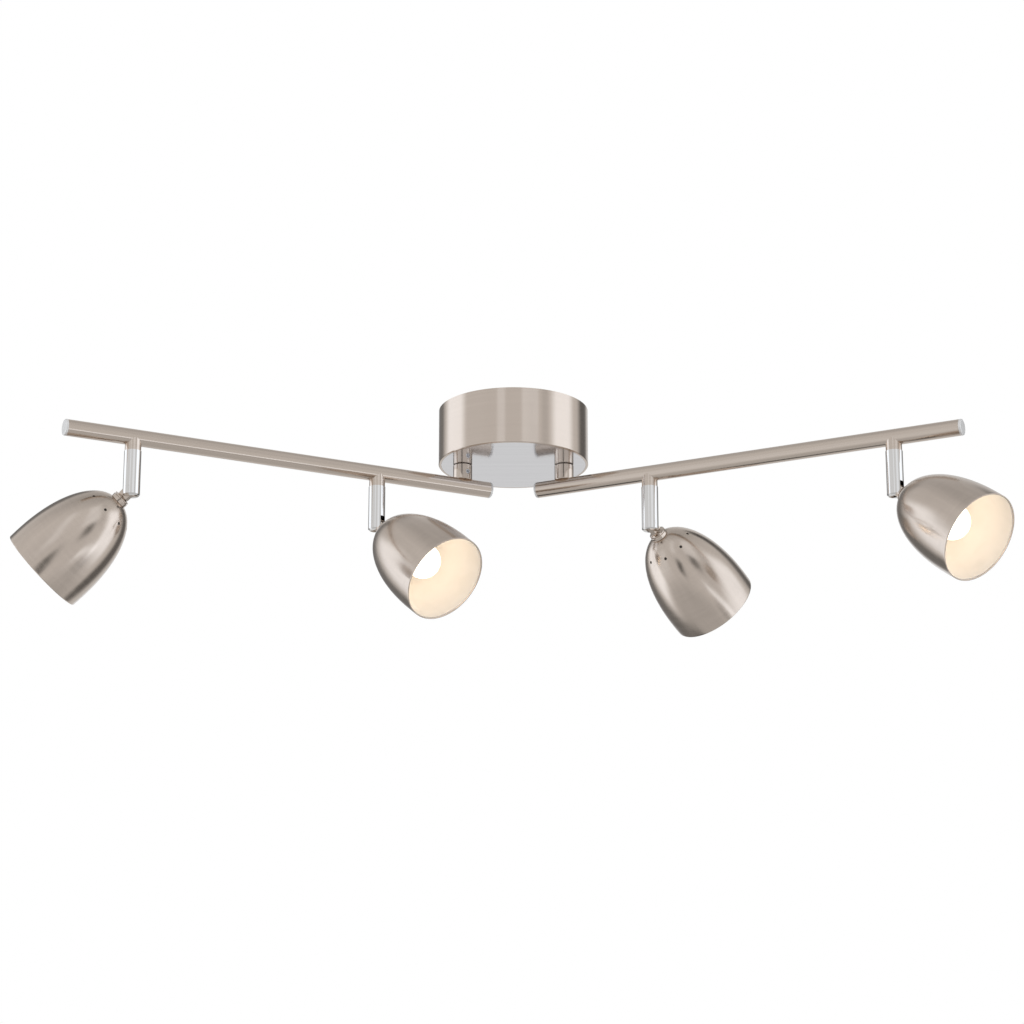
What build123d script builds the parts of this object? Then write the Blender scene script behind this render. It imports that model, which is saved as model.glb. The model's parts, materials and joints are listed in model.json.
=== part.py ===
from build123d import *
import os
from math import acos, asin, cos, degrees, hypot, pi, radians, sin

# Ceiling light: a round canopy carries two straight arms, and each arm carries two adjustable spot heads.
# Millimetres. The canopy's top face lies on the ceiling at Z = 0, its centre is the origin, +Z is up,
# the arms reach out along -X and +X, and both are swung forward, towards -Y.

# Canopy: a drawn drum with an inward lip that a polished bottom plate rests on.
canopy_diameter = 127.0
canopy_depth = 48.0
canopy_wall = 1.0
canopy_edge_round = 0.5
lip_width = 1.2
lip_thickness = 0.8
plate_thickness = 2.5
ring_width = 2.0
ring_height = 1.6
ring_gap = 14.0

# Mounting plate behind the canopy, screwed to the ceiling box through its slots.
bracket_margin = 6.5
bracket_thickness = 1.5
wire_hole_radius = 11.0
box_spacing_wide = 86.0
box_spacing_narrow = 70.0
slot_length = 12.0
slot_width = 5.0
ear_width = 14.0
ear_drop = 16.0
ear_screw_drop = 9.0
canopy_screw_azimuths = (20.0, 160.0)
canopy_screw_radius = 2.0
canopy_screw_length = 10.0
canopy_screw_head_radius = 3.8
canopy_screw_head_height = 2.0
ground_screw_radius = 2.0
ground_screw_head_radius = 4.0
ground_screw_head_height = 3.0
ground_screw_y = -20.0

# Terminal block under the mounting plate.
block_length = 42.0
block_width = 18.0
block_height = 13.0
block_y = 26.0
way_pitch = 10.0
way_count = 4
way_radius = 1.5
terminal_screw_radius = 1.9
terminal_screw_depth = 5.0
terminal_screw_recess = 0.6

# Swivelling posts under the canopy.
post_inset = 20.5
post_radius = 8.1
post_gap = 0.3
post_edge = 0.5
post_saddle_depth = 1.75
nipple_radius = 4.9
nipple_bore_radius = 3.2
nipple_foot_gap = 1.25
nipple_top_above_plate = 9.0
washer_radius = 9.5
washer_thickness = 1.5
stop_tab_margin = 2.0
stop_stud_radius = 2.0
stop_stud_height = 5.5
arm_swing_each_way = 90.0
stop_play = 1.0
nut_across_flats = 14.0
nut_height = 4.0
set_screw_radius = 2.0
set_screw_sink = 0.9
set_screw_azimuth = 102.0
set_screw_socket_radius = 1.1
set_screw_socket_depth = 1.2
set_screw_countersink = 0.8

# Arms: straight tubes closed by end caps, hung under the posts.
arm_drop = 18.5
arm_rest_swing = 26.2
tube_radius = 6.75
tube_wall = 1.0
arm_inner_reach = 26.0
arm_outer_reach = 352.5
cap_thickness = 2.0
cap_round = 0.8
cap_plug_length = 6.0
inner_head_station = 79.0
outer_head_inset = 58.5
collar_radius = 6.6
collar_height = 5.25
collar_neck_radius = 4.3
collar_neck_margin = 3.25

# Stems: polished cylinders that turn under the collars and carry the heads on a pin.
stem_radius = 7.0
stem_length = 37.8
stem_edge = 1.0
pivot_height = 5.8
spigot_radius = 3.2
spigot_bore_radius = 2.2
spigot_head_radius = 4.0
spigot_head_height = 1.0
fork_slot_width = 5.0
fork_slot_height = 11.5
fork_back_wall = 1.4
pin_radius = 1.5

# Head, measured along its axis from the tilt pin.
tongue_thickness = 4.7
tongue_end_radius = 5.2
tongue_half_width = 4.4
flange_start_radius = 3.8
flange_cone_length = 1.1
flange_lip_length = 0.7
flange_radius = 6.9
groove_radius = 5.8
groove_width = 0.5
neck_ring_length = 3.3
neck_ring_radius = 7.05
neck_ring_edge = 0.3
neck_tube_radius = 4.5
neck_tube_bore_radius = 2.5
neck_tube_reach = 6.9
shade_length = 82.6
shade_flat_sink = 1.1
shade_mouth_length = 9.2
shade_radius = 37.5
shade_wall = 1.0
shade_fullness = 2.15
shade_points = 10
vent_depth = 9.9
vent_radius = 1.0
vent_count = 8
holder_neck_length = 3.2
holder_length = 22.2
holder_neck_radius = 7.0
holder_radius = 9.5
lamp_pin_spacing = 9.5
lamp_pin_radius = 1.0
lamp_pin_length = 8.0
lamp_foot_radius = 8.0
lamp_base_length = 12.0
lamp_waist_radius = 11.0
lamp_seat_radius = 9.2
lamp_seat_depth = 1.5
globe_centre_depth = 51.4
globe_radius = 14.5
globe_wall = 1.2
globe_opening_radius = 8.8

# Leads inside the fixture.
lead_radius = 1.1
lead_spacing = 2.7
lead_bend = 8.0
lead_drop = 9.0
arm_lead_height = 2.0
arm_lead_bend = 3.5
arm_lead_end_bend = 2.4

# Fits, each per side.
running_clearance = 0.05
seat_clearance = 0.1
saddle_clearance = 0.03
face_gap = 0.1
knuckle_clearance = 0.41
ear_clearance = 1.5
cut_overrun = 1.0

# Rest pose of each head: body side, place on the arm, tilt from straight down, azimuth of its aim.
left_side = -1
right_side = 1
head_poses = (
    (left_side, "outer", 50.0, 165.0),
    (left_side, "inner", 51.0, -39.2),
    (right_side, "inner", 56.0, 46.5),
    (right_side, "outer", 54.3, -43.4),
)

# Values worked out from the ones above. Heights with _z are in the light's frame, drops are below a
# tube's axis, and heights in a head are along its axis from the tilt pin.
canopy_radius = canopy_diameter / 2
canopy_bore_radius = canopy_radius - canopy_wall
plate_top_z = plate_thickness - canopy_depth
arm_axis_z = -canopy_depth - arm_drop
tube_bore_radius = tube_radius - tube_wall
bracket_radius = canopy_bore_radius - bracket_margin
ear_face_radius = canopy_bore_radius - ear_clearance
post_spacing = canopy_diameter - 2 * post_inset
post_end_above_tube = tube_radius - post_saddle_depth
nipple_foot_above_tube = tube_radius + nipple_foot_gap
stop_tab_radius = post_inset - canopy_wall - ring_width - stop_tab_margin
stop_stud_reach = stop_tab_radius - stop_stud_radius - seat_clearance
head_stations = (inner_head_station, arm_outer_reach - outer_head_inset)
station_of = dict(zip(("inner", "outer"), head_stations))
collar_drop = tube_radius + collar_height
collar_neck_drop = tube_bore_radius - collar_neck_margin
stem_end_drop = collar_drop + stem_length
pivot_drop = stem_end_drop - pivot_height
fork_back = stem_radius - fork_back_wall
flange_start = hypot(stem_radius, pivot_height - stem_edge) + knuckle_clearance
flange_lip_start = flange_start + flange_cone_length
flange_lip_end = flange_lip_start + flange_lip_length
neck_ring_start = flange_lip_end + groove_width
neck_ring_end = neck_ring_start + neck_ring_length
shade_top = neck_ring_end + face_gap
shade_apex = shade_top - shade_flat_sink
shade_mouth = shade_top + shade_length
shade_widest = shade_mouth - shade_mouth_length
vent_height = shade_top + vent_depth
neck_tube_end = shade_top + neck_tube_reach
holder_start = shade_top + shade_wall + 2 * face_gap
holder_shoulder = holder_start + holder_neck_length
holder_end = holder_start + holder_length
lamp_waist = holder_end + lamp_base_length
globe_centre = shade_top + globe_centre_depth
side_names = {left_side: "left", right_side: "right"}
up = (0, 0, 1)


def turned_frame(origin, azimuth):
    """Upright frame whose X points at an azimuth, in degrees from +X towards +Y."""
    heading = (cos(radians(azimuth)), sin(radians(azimuth)), 0)
    return Plane(origin=origin, x_dir=heading, z_dir=up)


def arm_frame(side):
    """Frame of an arm: on the post's axis at the tube's height, X outward along the tube."""
    swing = -arm_rest_swing if side == right_side else 180 + arm_rest_swing
    return turned_frame((side * post_spacing / 2, 0, arm_axis_z), swing)


def stem_frame(side, place, azimuth):
    """Frame of a stem: on the tube's axis over the stem, X towards the head's aim."""
    origin = arm_frame(side).from_local_coords((station_of[place], 0, 0))
    return turned_frame(origin, azimuth)


def head_frame(stem, tilt):
    """Frame of a head: on the tilt pin, X along the pin, Z along the head's axis towards its mouth."""
    aim = stem.x_dir * sin(radians(tilt)) - stem.z_dir * cos(radians(tilt))
    return Plane(origin=stem.from_local_coords((0, 0, -pivot_drop)), x_dir=stem.y_dir, z_dir=aim)


def shifted(frame, x=0.0, y=0.0, z=0.0):
    """Copy of a frame moved along its own axes."""
    return Plane(origin=frame.from_local_coords((x, y, z)), x_dir=frame.x_dir, z_dir=frame.z_dir)


def along_x(frame):
    """Frame with the same origin whose Z runs along the given frame's X."""
    return Plane(origin=frame.origin, x_dir=frame.y_dir, z_dir=frame.x_dir)


def along_y(frame):
    """Frame with the same origin whose Z runs along the given frame's Y."""
    return Plane(origin=frame.origin, x_dir=frame.x_dir, z_dir=frame.y_dir)


def side_view(frame):
    """Drawing plane through a frame's Z axis: X is the radius, Y the height along that axis."""
    return Plane(origin=frame.origin, x_dir=frame.x_dir, z_dir=frame.x_dir.cross(frame.z_dir))


def other_side(long_side, short_side):
    """Third side of a right triangle, from its longest side and one short side."""
    return (long_side**2 - short_side**2) ** 0.5


def add_round(frame, low, high, radius, mode=Mode.ADD):
    """Adds or cuts a cylinder about a frame's Z axis, from one height to another."""
    with BuildSketch(frame.offset(low)) as section:
        Circle(radius)
    extrude(section.sketch, amount=high - low, mode=mode)


def add_turned(frame, corners, mode=Mode.ADD):
    """Adds or cuts a solid of revolution about a frame's Z axis, from (radius, height) corners."""
    with BuildSketch(side_view(frame)) as section:
        with BuildLine():
            Polyline(*corners, close=True)
        make_face()
    revolve(section.sketch, axis=Axis(frame.origin, frame.z_dir), mode=mode)


def save(piece, name):
    """Labels a finished piece and writes it under its node's name."""
    piece.part.label = name
    export_step(piece.part, f"parts/{name}.step")


def screw_frame(azimuth):
    """Frame of a canopy side screw: on the canopy's axis at the screw's height, Z radially outward."""
    return along_x(turned_frame((0, 0, -ear_screw_drop), azimuth))


def make_mounting_plate():
    """Steel plate with slots for the ceiling box's screws and two ears for the canopy's screws."""
    with BuildPart() as plate:
        with BuildSketch(Plane.XY.offset(-bracket_thickness)):
            Circle(bracket_radius)
            Circle(wire_hole_radius, mode=Mode.SUBTRACT)
            with GridLocations(box_spacing_wide, 0, 2, 1):
                SlotOverall(slot_length, slot_width, mode=Mode.SUBTRACT)
            with GridLocations(0, box_spacing_narrow, 1, 2):
                SlotOverall(slot_length, slot_width, rotation=90, mode=Mode.SUBTRACT)
            with Locations((0, ground_screw_y)):
                Circle(ground_screw_radius + running_clearance, mode=Mode.SUBTRACT)
        extrude(amount=bracket_thickness)
        for azimuth in canopy_screw_azimuths:
            ear = turned_frame((0, 0, 0), azimuth)
            foot_length = ear_face_radius - bracket_radius * 0.9
            with BuildSketch(ear.offset(-bracket_thickness)):
                with Locations((ear_face_radius - foot_length / 2, 0)):
                    Rectangle(foot_length, ear_width)
            extrude(amount=bracket_thickness)
            with BuildSketch(ear.offset(-ear_drop)):
                with Locations((ear_face_radius - bracket_thickness / 2, 0)):
                    Rectangle(bracket_thickness, ear_width)
            extrude(amount=ear_drop)
            add_round(
                screw_frame(azimuth),
                ear_face_radius - bracket_thickness - cut_overrun,
                ear_face_radius + cut_overrun,
                canopy_screw_radius + running_clearance,
                Mode.SUBTRACT,
            )
    save(plate, "mounting_plate")


def make_ground_screw():
    """Hex-headed earth screw in the mounting plate."""
    with BuildPart() as screw:
        with BuildSketch(Plane.XY.offset(-bracket_thickness - face_gap)):
            with Locations((0, ground_screw_y)):
                RegularPolygon(ground_screw_head_radius, 6)
        extrude(amount=-ground_screw_head_height)
        with BuildSketch(Plane.XY.offset(-bracket_thickness - face_gap)):
            with Locations((0, ground_screw_y)):
                Circle(ground_screw_radius)
        extrude(amount=bracket_thickness)
    save(screw, "ground_screw")


def make_canopy_wall():
    """Open drum of the canopy with the inward lip under its bottom plate."""
    lip_radius = canopy_bore_radius - lip_width
    with BuildPart() as wall:
        add_turned(
            Plane.XY,
            [
                (canopy_bore_radius, 0),
                (canopy_radius, 0),
                (canopy_radius, -canopy_depth + canopy_edge_round),
                (canopy_radius - canopy_edge_round, -canopy_depth),
                (lip_radius, -canopy_depth),
                (lip_radius, -canopy_depth + lip_thickness),
                (canopy_bore_radius, -canopy_depth + lip_thickness),
            ],
        )
        for azimuth in canopy_screw_azimuths:
            add_round(
                screw_frame(azimuth),
                canopy_bore_radius - cut_overrun,
                canopy_radius + cut_overrun,
                canopy_screw_radius + seat_clearance * 3,
                Mode.SUBTRACT,
            )
    save(wall, "canopy_wall")


def make_bottom_plate():
    """Polished disc on the canopy's lip, stepped so that its face is flush with the lip."""
    upper_radius = canopy_bore_radius - seat_clearance
    lower_radius = canopy_bore_radius - lip_width - seat_clearance
    step_z = -canopy_depth + lip_thickness + face_gap / 2
    with BuildPart() as plate:
        add_turned(
            Plane.XY,
            [
                (0, plate_top_z),
                (upper_radius, plate_top_z),
                (upper_radius, step_z),
                (lower_radius, step_z),
                (lower_radius, -canopy_depth),
                (0, -canopy_depth),
            ],
        )
        for side in side_names:
            add_round(
                arm_frame(side),
                arm_drop - cut_overrun,
                arm_drop + plate_thickness + cut_overrun,
                nipple_radius + running_clearance,
                Mode.SUBTRACT,
            )
    save(plate, "bottom_plate")


def make_plate_ring():
    """Split snap ring that keeps the bottom plate down on its lip."""
    outer_radius = canopy_bore_radius - running_clearance
    low = plate_top_z + face_gap
    with BuildPart() as ring:
        with BuildSketch(Plane.XY.offset(low)):
            Circle(outer_radius)
            Circle(outer_radius - ring_width, mode=Mode.SUBTRACT)
            with Locations((0, outer_radius)):
                Rectangle(ring_gap, ring_gap, mode=Mode.SUBTRACT)
        extrude(amount=ring_height)
    save(ring, "plate_ring")


def make_canopy_screws():
    """Two pan-headed screws through the canopy's wall into the mounting plate's ears."""
    head_seat = canopy_radius + face_gap
    with BuildPart() as screws:
        for azimuth in canopy_screw_azimuths:
            frame = screw_frame(azimuth)
            add_turned(
                frame,
                [
                    (0, head_seat - canopy_screw_length),
                    (canopy_screw_radius, head_seat - canopy_screw_length),
                    (canopy_screw_radius, head_seat),
                    (canopy_screw_head_radius, head_seat),
                    (canopy_screw_head_radius, head_seat + canopy_screw_head_height / 2),
                    (canopy_screw_head_radius * 0.7, head_seat + canopy_screw_head_height),
                    (0, head_seat + canopy_screw_head_height),
                ],
            )
            with BuildSketch(frame.offset(head_seat + canopy_screw_head_height / 2)):
                Rectangle(canopy_screw_head_radius, canopy_screw_head_radius / 5)
                Rectangle(canopy_screw_head_radius / 5, canopy_screw_head_radius)
            extrude(amount=canopy_screw_head_height, mode=Mode.SUBTRACT)
    save(screws, "canopy_screws")


def way_positions():
    """X of each way of the terminal block."""
    return [(index - (way_count - 1) / 2) * way_pitch for index in range(way_count)]


def make_terminal_block():
    """Insulating block with a way through it for each lead and a clamp screw over each way's ends."""
    top_z = -bracket_thickness - face_gap
    with BuildPart() as block:
        with BuildSketch(Plane.XY.offset(top_z - block_height)):
            with Locations((0, block_y)):
                RectangleRounded(block_length, block_width, 2.0)
        extrude(amount=block_height)
        with BuildSketch(Plane.XZ.offset(-block_y - block_width / 2 - cut_overrun)):
            with Locations(*[(x, -lead_drop) for x in way_positions()]):
                Circle(way_radius)
        extrude(amount=block_width + 2 * cut_overrun, mode=Mode.SUBTRACT)
        with BuildSketch(Plane.XY.offset(top_z - block_height)):
            with Locations((0, block_y)):
                with GridLocations(way_pitch, block_width / 2, way_count, 2):
                    Circle(terminal_screw_radius + running_clearance)
        extrude(amount=terminal_screw_depth, mode=Mode.SUBTRACT)
    save(block, "terminal_block")


def make_terminal_screws():
    """Clamp screws of the terminal block, slotted, sunk in its lower face."""
    low = -bracket_thickness - face_gap - block_height + terminal_screw_recess
    length = terminal_screw_depth - terminal_screw_recess - lead_radius
    with BuildPart() as screws:
        with BuildSketch(Plane.XY.offset(low)):
            with Locations((0, block_y)):
                with GridLocations(way_pitch, block_width / 2, way_count, 2):
                    Circle(terminal_screw_radius)
        extrude(amount=length)
        with BuildSketch(Plane.XY.offset(low)):
            with Locations((0, block_y)):
                with GridLocations(way_pitch, block_width / 2, way_count, 2):
                    Rectangle(terminal_screw_radius * 2, terminal_screw_radius / 3)
        extrude(amount=terminal_screw_recess, mode=Mode.SUBTRACT)
    save(screws, "terminal_screws")


def make_stop_studs():
    """Studs on the bottom plate that the arms' stop washers meet at the ends of their swing."""
    reach = post_spacing / 2 - stop_stud_reach
    with BuildPart() as studs:
        with BuildSketch(Plane.XY.offset(plate_top_z)):
            with Locations((-reach, 0), (reach, 0)):
                Circle(stop_stud_radius)
        extrude(amount=stop_stud_height)
    save(studs, "stop_studs")


def make_canopy_leads():
    """Leads from the terminal block to the tops of the two swivel nipples, two to each arm."""
    front = block_y - block_width / 2 + way_radius
    end_z = plate_top_z + nipple_top_above_plate + 3 * face_gap
    with BuildPart() as leads:
        for x in way_positions():
            side = right_side if x > 0 else left_side
            behind = 1 if abs(x) > way_pitch else -1
            y = behind * lead_spacing / 2
            post_x = side * post_spacing / 2
            with BuildLine() as route:
                FilletPolyline(
                    (x, front, -lead_drop),
                    (x, y, -lead_drop),
                    (post_x, y, -lead_drop),
                    (post_x, y, end_z),
                    radius=lead_bend,
                )
            with BuildSketch(Plane(origin=route.line @ 0, z_dir=route.line % 0)):
                Circle(lead_radius)
            sweep(path=route.line)
    save(leads, "canopy_leads")


def make_arm_tube(side):
    """Arm tube with a lead hole under the post and a hole for each collar's neck."""
    arm = arm_frame(side)
    low = -arm_inner_reach + cap_thickness
    with BuildPart() as tube:
        with BuildSketch(along_x(arm).offset(low)):
            Circle(tube_radius)
            Circle(tube_bore_radius, mode=Mode.SUBTRACT)
        extrude(amount=arm_outer_reach - cap_thickness - low)
        add_round(arm, 0, tube_radius + cut_overrun, nipple_bore_radius, Mode.SUBTRACT)
        for station in head_stations:
            add_round(
                shifted(arm, x=station),
                -tube_radius - cut_overrun,
                0,
                collar_neck_radius + running_clearance,
                Mode.SUBTRACT,
            )
    save(tube, f"{side_names[side]}_arm_tube")


def set_screw_frame(side):
    """Frame of a post's set screw: on the post's axis at half its height, Z radially outward."""
    middle = (post_end_above_tube + arm_drop - post_gap) / 2
    swing = -arm_rest_swing if side == right_side else 180 + arm_rest_swing
    origin = shifted(arm_frame(side), z=middle).origin
    return along_x(turned_frame(origin, swing + set_screw_azimuth))


def make_arm_post(side):
    """Post between canopy and tube, saddled over the tube and tapped for its set screw."""
    arm = arm_frame(side)
    top = arm_drop - post_gap
    bore = nipple_radius + running_clearance
    with BuildPart() as post:
        add_turned(
            arm,
            [
                (nipple_bore_radius, post_end_above_tube),
                (post_radius - post_edge, post_end_above_tube),
                (post_radius, post_end_above_tube + post_edge),
                (post_radius, top - post_edge),
                (post_radius - post_edge, top),
                (bore, top),
                (bore, nipple_foot_above_tube),
                (nipple_bore_radius, nipple_foot_above_tube),
            ],
        )
        saddle = tube_radius + saddle_clearance
        add_round(along_x(arm), -post_radius * 2, post_radius * 2, saddle, Mode.SUBTRACT)
        hole_radius = set_screw_radius + running_clearance
        add_turned(
            set_screw_frame(side),
            [
                (0, 0),
                (hole_radius, 0),
                (hole_radius, post_radius - set_screw_countersink),
                (hole_radius + 2 * set_screw_countersink, post_radius + set_screw_countersink),
                (0, post_radius + set_screw_countersink),
            ],
            Mode.SUBTRACT,
        )
    save(post, f"{side_names[side]}_arm_post")


def make_post_set_screw(side):
    """Socket set screw that locks the post to its nipple."""
    frame = set_screw_frame(side)
    outer = post_radius - set_screw_sink
    with BuildPart() as screw:
        add_round(frame, nipple_radius + face_gap, outer, set_screw_radius)
        with BuildSketch(frame.offset(outer - set_screw_socket_depth)):
            RegularPolygon(set_screw_socket_radius, 6)
        extrude(amount=set_screw_socket_depth, mode=Mode.SUBTRACT)
    save(screw, f"{side_names[side]}_post_set_screw")


def make_pivot_nipple(side):
    """Hollow threaded tube that the post hangs from; it turns in the bottom plate's hole."""
    with BuildPart() as nipple:
        with BuildSketch(arm_frame(side).offset(nipple_foot_above_tube + face_gap)):
            Circle(nipple_radius)
            Circle(nipple_bore_radius, mode=Mode.SUBTRACT)
        top = arm_drop + plate_thickness + nipple_top_above_plate
        extrude(amount=top - nipple_foot_above_tube - face_gap)
    save(nipple, f"{side_names[side]}_pivot_nipple")


def make_stop_washer(side):
    """Washer over the bottom plate with a wide tab that meets the stop stud at each end of the swing."""
    arm = arm_frame(side)
    low = arm_drop + plate_thickness + face_gap
    stud_half_angle = degrees(asin(stop_stud_radius / stop_stud_reach))
    tab_half_angle = arm_swing_each_way - stud_half_angle - stop_play
    # The tab spreads evenly to both sides of the arm's own direction.
    with BuildPart() as washer:
        with BuildSketch(arm.offset(low)):
            with BuildLine():
                rim = CenterArc((0, 0), stop_tab_radius, -tab_half_angle, 2 * tab_half_angle)
                Polyline(rim @ 1, (0, 0), rim @ 0)
            make_face()
            Circle(washer_radius)
            Circle(nipple_radius + running_clearance, mode=Mode.SUBTRACT)
        extrude(amount=washer_thickness)
    save(washer, f"{side_names[side]}_stop_washer")


def make_pivot_nut(side):
    """Hexagon nut that holds the nipple up against the stop washer."""
    low = arm_drop + plate_thickness + washer_thickness + 2 * face_gap
    with BuildPart() as nut:
        with BuildSketch(arm_frame(side).offset(low)):
            RegularPolygon(nut_across_flats / 2, 6, major_radius=False)
            Circle(nipple_radius + running_clearance, mode=Mode.SUBTRACT)
        extrude(amount=nut_height)
    save(nut, f"{side_names[side]}_pivot_nut")


def make_end_caps(side):
    """Plug caps in the tube's two ends, rounded at their outer edges."""
    tube_line = along_x(arm_frame(side))
    inner_end = tube_line.offset(-arm_inner_reach)
    outer_origin = tube_line.offset(arm_outer_reach).origin
    outer_end = Plane(origin=outer_origin, x_dir=tube_line.x_dir, z_dir=-tube_line.z_dir)
    plug_radius = tube_bore_radius - running_clearance
    with BuildPart() as caps:
        for end in (inner_end, outer_end):
            add_turned(
                end,
                [
                    (0, 0),
                    (tube_radius - cap_round, 0),
                    (tube_radius - cap_round * 0.3, cap_round * 0.3),
                    (tube_radius, cap_round),
                    (tube_radius, cap_thickness - running_clearance),
                    (plug_radius, cap_thickness - running_clearance),
                    (plug_radius, cap_plug_length),
                    (0, cap_plug_length),
                ],
            )
    save(caps, f"{side_names[side]}_end_caps")


def make_head_collars(side):
    """Collars saddled under the tube, each with a bored neck that rises into it for the stem's spigot."""
    arm = arm_frame(side)
    bore = spigot_radius + running_clearance
    saddle_top = -other_side(tube_radius, collar_radius) / 2
    with BuildPart() as collars:
        for station in head_stations:
            frame = shifted(arm, x=station)
            add_turned(
                frame,
                [
                    (bore, -collar_drop),
                    (collar_radius, -collar_drop),
                    (collar_radius, saddle_top),
                    (bore, saddle_top),
                ],
            )
        add_round(along_x(arm), 0, arm_outer_reach, tube_radius + saddle_clearance, Mode.SUBTRACT)
        for station in head_stations:
            add_turned(
                shifted(arm, x=station),
                [
                    (bore, -collar_drop),
                    (collar_neck_radius, -collar_drop),
                    (collar_neck_radius, -collar_neck_drop),
                    (bore, -collar_neck_drop),
                ],
            )
    save(collars, f"{side_names[side]}_head_collars")


def make_arm_leads(side):
    """Two leads: down the nipple and along the tube, one to each collar."""
    arm = arm_frame(side)
    start = arm_drop + plate_thickness + nipple_top_above_plate - face_gap
    end = -collar_neck_drop + spigot_head_height + 2 * face_gap + running_clearance
    offsets = (-lead_spacing / 2, lead_spacing / 2)
    with BuildPart() as leads:
        for station, y in zip(head_stations, offsets):
            corners = [
                (0, y, start),
                (0, y, arm_lead_height),
                (station, y, arm_lead_height),
                (station, y, end),
            ]
            with BuildLine() as route:
                FilletPolyline(
                    *[arm.from_local_coords(corner) for corner in corners],
                    radius=[arm_lead_bend, arm_lead_end_bend],
                )
            with BuildSketch(Plane(origin=route.line @ 0, z_dir=route.line % 0)):
                Circle(lead_radius)
            sweep(path=route.line)
    save(leads, f"{side_names[side]}_arm_leads")


def make_stem(stem, name):
    """Stem with a headed spigot in the collar, and a slot at its foot that is open forward and down."""
    head_low = -collar_neck_drop + face_gap
    shoulder = -collar_drop - face_gap
    slot_top = -stem_end_drop + fork_slot_height
    with BuildPart() as body:
        add_turned(
            stem,
            [
                (spigot_bore_radius, head_low + spigot_head_height),
                (spigot_head_radius, head_low + spigot_head_height),
                (spigot_head_radius, head_low),
                (spigot_radius, head_low),
                (spigot_radius, shoulder),
                (stem_radius, shoulder),
                (stem_radius, -stem_end_drop + stem_edge),
                (stem_radius - stem_edge, -stem_end_drop),
                (0, -stem_end_drop),
                (0, slot_top - cut_overrun),
                (spigot_bore_radius, slot_top - cut_overrun),
            ],
        )
        with BuildSketch(side_view(stem)):
            with Locations((-fork_back, slot_top)):
                Rectangle(fork_back + stem_radius * 2, fork_slot_height * 2, align=(Align.MIN, Align.MAX))
        extrude(amount=fork_slot_width / 2, both=True, mode=Mode.SUBTRACT)
        pin_line = along_y(shifted(stem, z=-pivot_drop))
        add_round(pin_line, -stem_radius, stem_radius, pin_radius + running_clearance / 2, Mode.SUBTRACT)
    save(body, f"{name}_stem")


def make_pivot_pin(stem, name):
    """Pin through the stem's fork, its ends flush with the stem."""
    with BuildPart() as pin:
        add_round(along_y(shifted(stem, z=-pivot_drop)), -stem_radius, stem_radius, pin_radius)
        add_round(stem, -stem_end_drop, -pivot_drop + 2 * pin_radius, stem_radius, Mode.INTERSECT)
    save(pin, f"{name}_pivot_pin")


def make_knuckle(head, name):
    """Tongue on the tilt pin, widening to a flange with a hollow threaded tube into the shade."""
    with BuildPart() as knuckle:
        add_turned(
            head,
            [
                (0, flange_start - cut_overrun / 2),
                (tongue_thickness / 2, flange_start - cut_overrun / 2),
                (flange_start_radius, flange_start),
                (flange_radius, flange_lip_start),
                (flange_radius, flange_lip_end),
                (groove_radius, flange_lip_end),
                (groove_radius, neck_ring_start - running_clearance),
                (neck_tube_radius, neck_ring_start - running_clearance),
                (neck_tube_radius, neck_tube_end),
                (neck_tube_bore_radius, neck_tube_end),
                (neck_tube_bore_radius, flange_lip_start),
                (0, flange_lip_start),
            ],
        )
        with BuildSketch(along_x(head)):
            Circle(tongue_end_radius)
            with Locations((0, flange_start / 2)):
                Rectangle(2 * tongue_half_width, flange_start)
        extrude(amount=tongue_thickness / 2, both=True)
        add_round(
            along_x(head), -tongue_thickness, tongue_thickness, pin_radius + running_clearance, Mode.SUBTRACT
        )
    save(knuckle, f"{name}_knuckle")


def make_neck_ring(head, name):
    """Threaded ring that clamps the shade's top against the lamp holder."""
    bore = neck_tube_radius + running_clearance
    with BuildPart() as ring:
        add_turned(
            head,
            [
                (bore, neck_ring_start),
                (neck_ring_radius - neck_ring_edge, neck_ring_start),
                (neck_ring_radius, neck_ring_start + neck_ring_edge),
                (neck_ring_radius, neck_ring_end - neck_ring_edge),
                (neck_ring_radius - neck_ring_edge, neck_ring_end),
                (bore, neck_ring_end),
            ],
        )
    save(ring, f"{name}_neck_ring")


def shade_curve(inset):
    """Points of the shade's bell from its flat top to its mouth, moved inward by inset.

    The bell is a superellipse: radius and height are powers of the sine and cosine of one angle.
    """
    half_height = shade_widest - shade_apex - inset
    half_width = shade_radius - inset
    first = acos(((shade_widest - shade_top - inset) / half_height) ** (shade_fullness / 2))
    last = pi - acos(((shade_mouth - shade_widest) / half_height) ** (shade_fullness / 2))
    power = 2 / shade_fullness
    points = []
    for index in range(shade_points):
        angle = first + (last - first) * index / (shade_points - 1)
        drop = abs(cos(angle)) ** power * (1 if cos(angle) > 0 else -1)
        points.append((half_width * sin(angle) ** power, shade_widest - half_height * drop))
    return points


def vent_frame(head, angle):
    """Frame on the shade's outside at a vent hole, Z square to the bell."""
    half_height = shade_widest - shade_apex
    share = (shade_widest - vent_height) / half_height
    radius = shade_radius * (1 - share**shade_fullness) ** (1 / shade_fullness)
    rise = (share / half_height) * share ** (shade_fullness - 2)
    spread = (radius / shade_radius) ** (shade_fullness - 1) / shade_radius
    outward = head.x_dir * cos(radians(angle)) + head.y_dir * sin(radians(angle))
    origin = head.origin + outward * radius + head.z_dir * vent_height
    return Plane(origin=origin, z_dir=outward * spread - head.z_dir * rise)


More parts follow.
